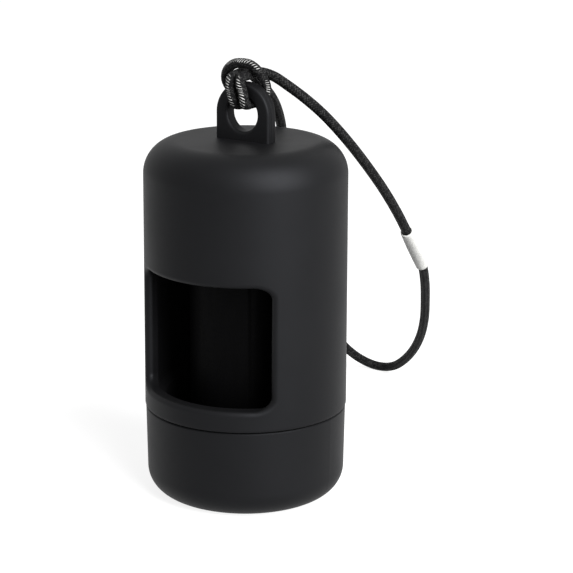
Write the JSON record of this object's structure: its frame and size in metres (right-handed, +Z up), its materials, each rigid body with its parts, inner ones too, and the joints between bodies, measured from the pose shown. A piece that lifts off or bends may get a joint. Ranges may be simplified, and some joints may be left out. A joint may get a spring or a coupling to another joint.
{
  "type": "dog waste bag dispenser",
  "caption": "Black moulded can for a roll of dog waste bags, with a side window, a screw base, a hanging lug and an elastic loop with a crimp sleeve.",
  "frame": {"origin": "centre of the base's underside, on the can's axis", "axes": "+Z up along the can's axis, -Y out of the middle of the window, the lug's flat faces square to Y"},
  "size_m": [0.049, 0.1132, 0.0976],
  "materials": {
    "housing_plastic": "fine soft-touch satin, black",
    "base_plastic": "fine soft-touch satin, black",
    "bag_film": "thin wound film, black",
    "core_board": "plain grey-brown board",
    "elastic": "braided cover with pale flecks",
    "sleeve_plastic": "smooth off-white"
  },
  "bodies": {
    "housing": {"housing": "housing_plastic", "elastic_cord": "elastic", "crimp_sleeve": "sleeve_plastic"},
    "roll_core": {"roll_core": "core_board"},
    "screw_base": {"screw_base": "base_plastic"},
    "bag_film": {"bag_film": "bag_film"}
  },
  "joints": [
    {"name": "base_travel", "type": "slide", "parent": "housing", "child": "roll_core", "axis": [0, 0, -1], "range_m": [0, 0.008]},
    {"name": "base_twist", "type": "hinge", "parent": "roll_core", "child": "screw_base", "pos_m": [0, 0, 0], "axis": [0, 0, -1], "range_deg": [0, 720]},
    {"name": "roll_spin", "type": "hinge", "parent": "roll_core", "child": "bag_film", "pos_m": [0, 0, 0.03], "axis": [0, 0, 1], "continuous": true}
  ],
  "couplings": [
    {"joint": "base_twist", "follows": "base_travel", "rad_per_m": 1570.8}
  ]
}
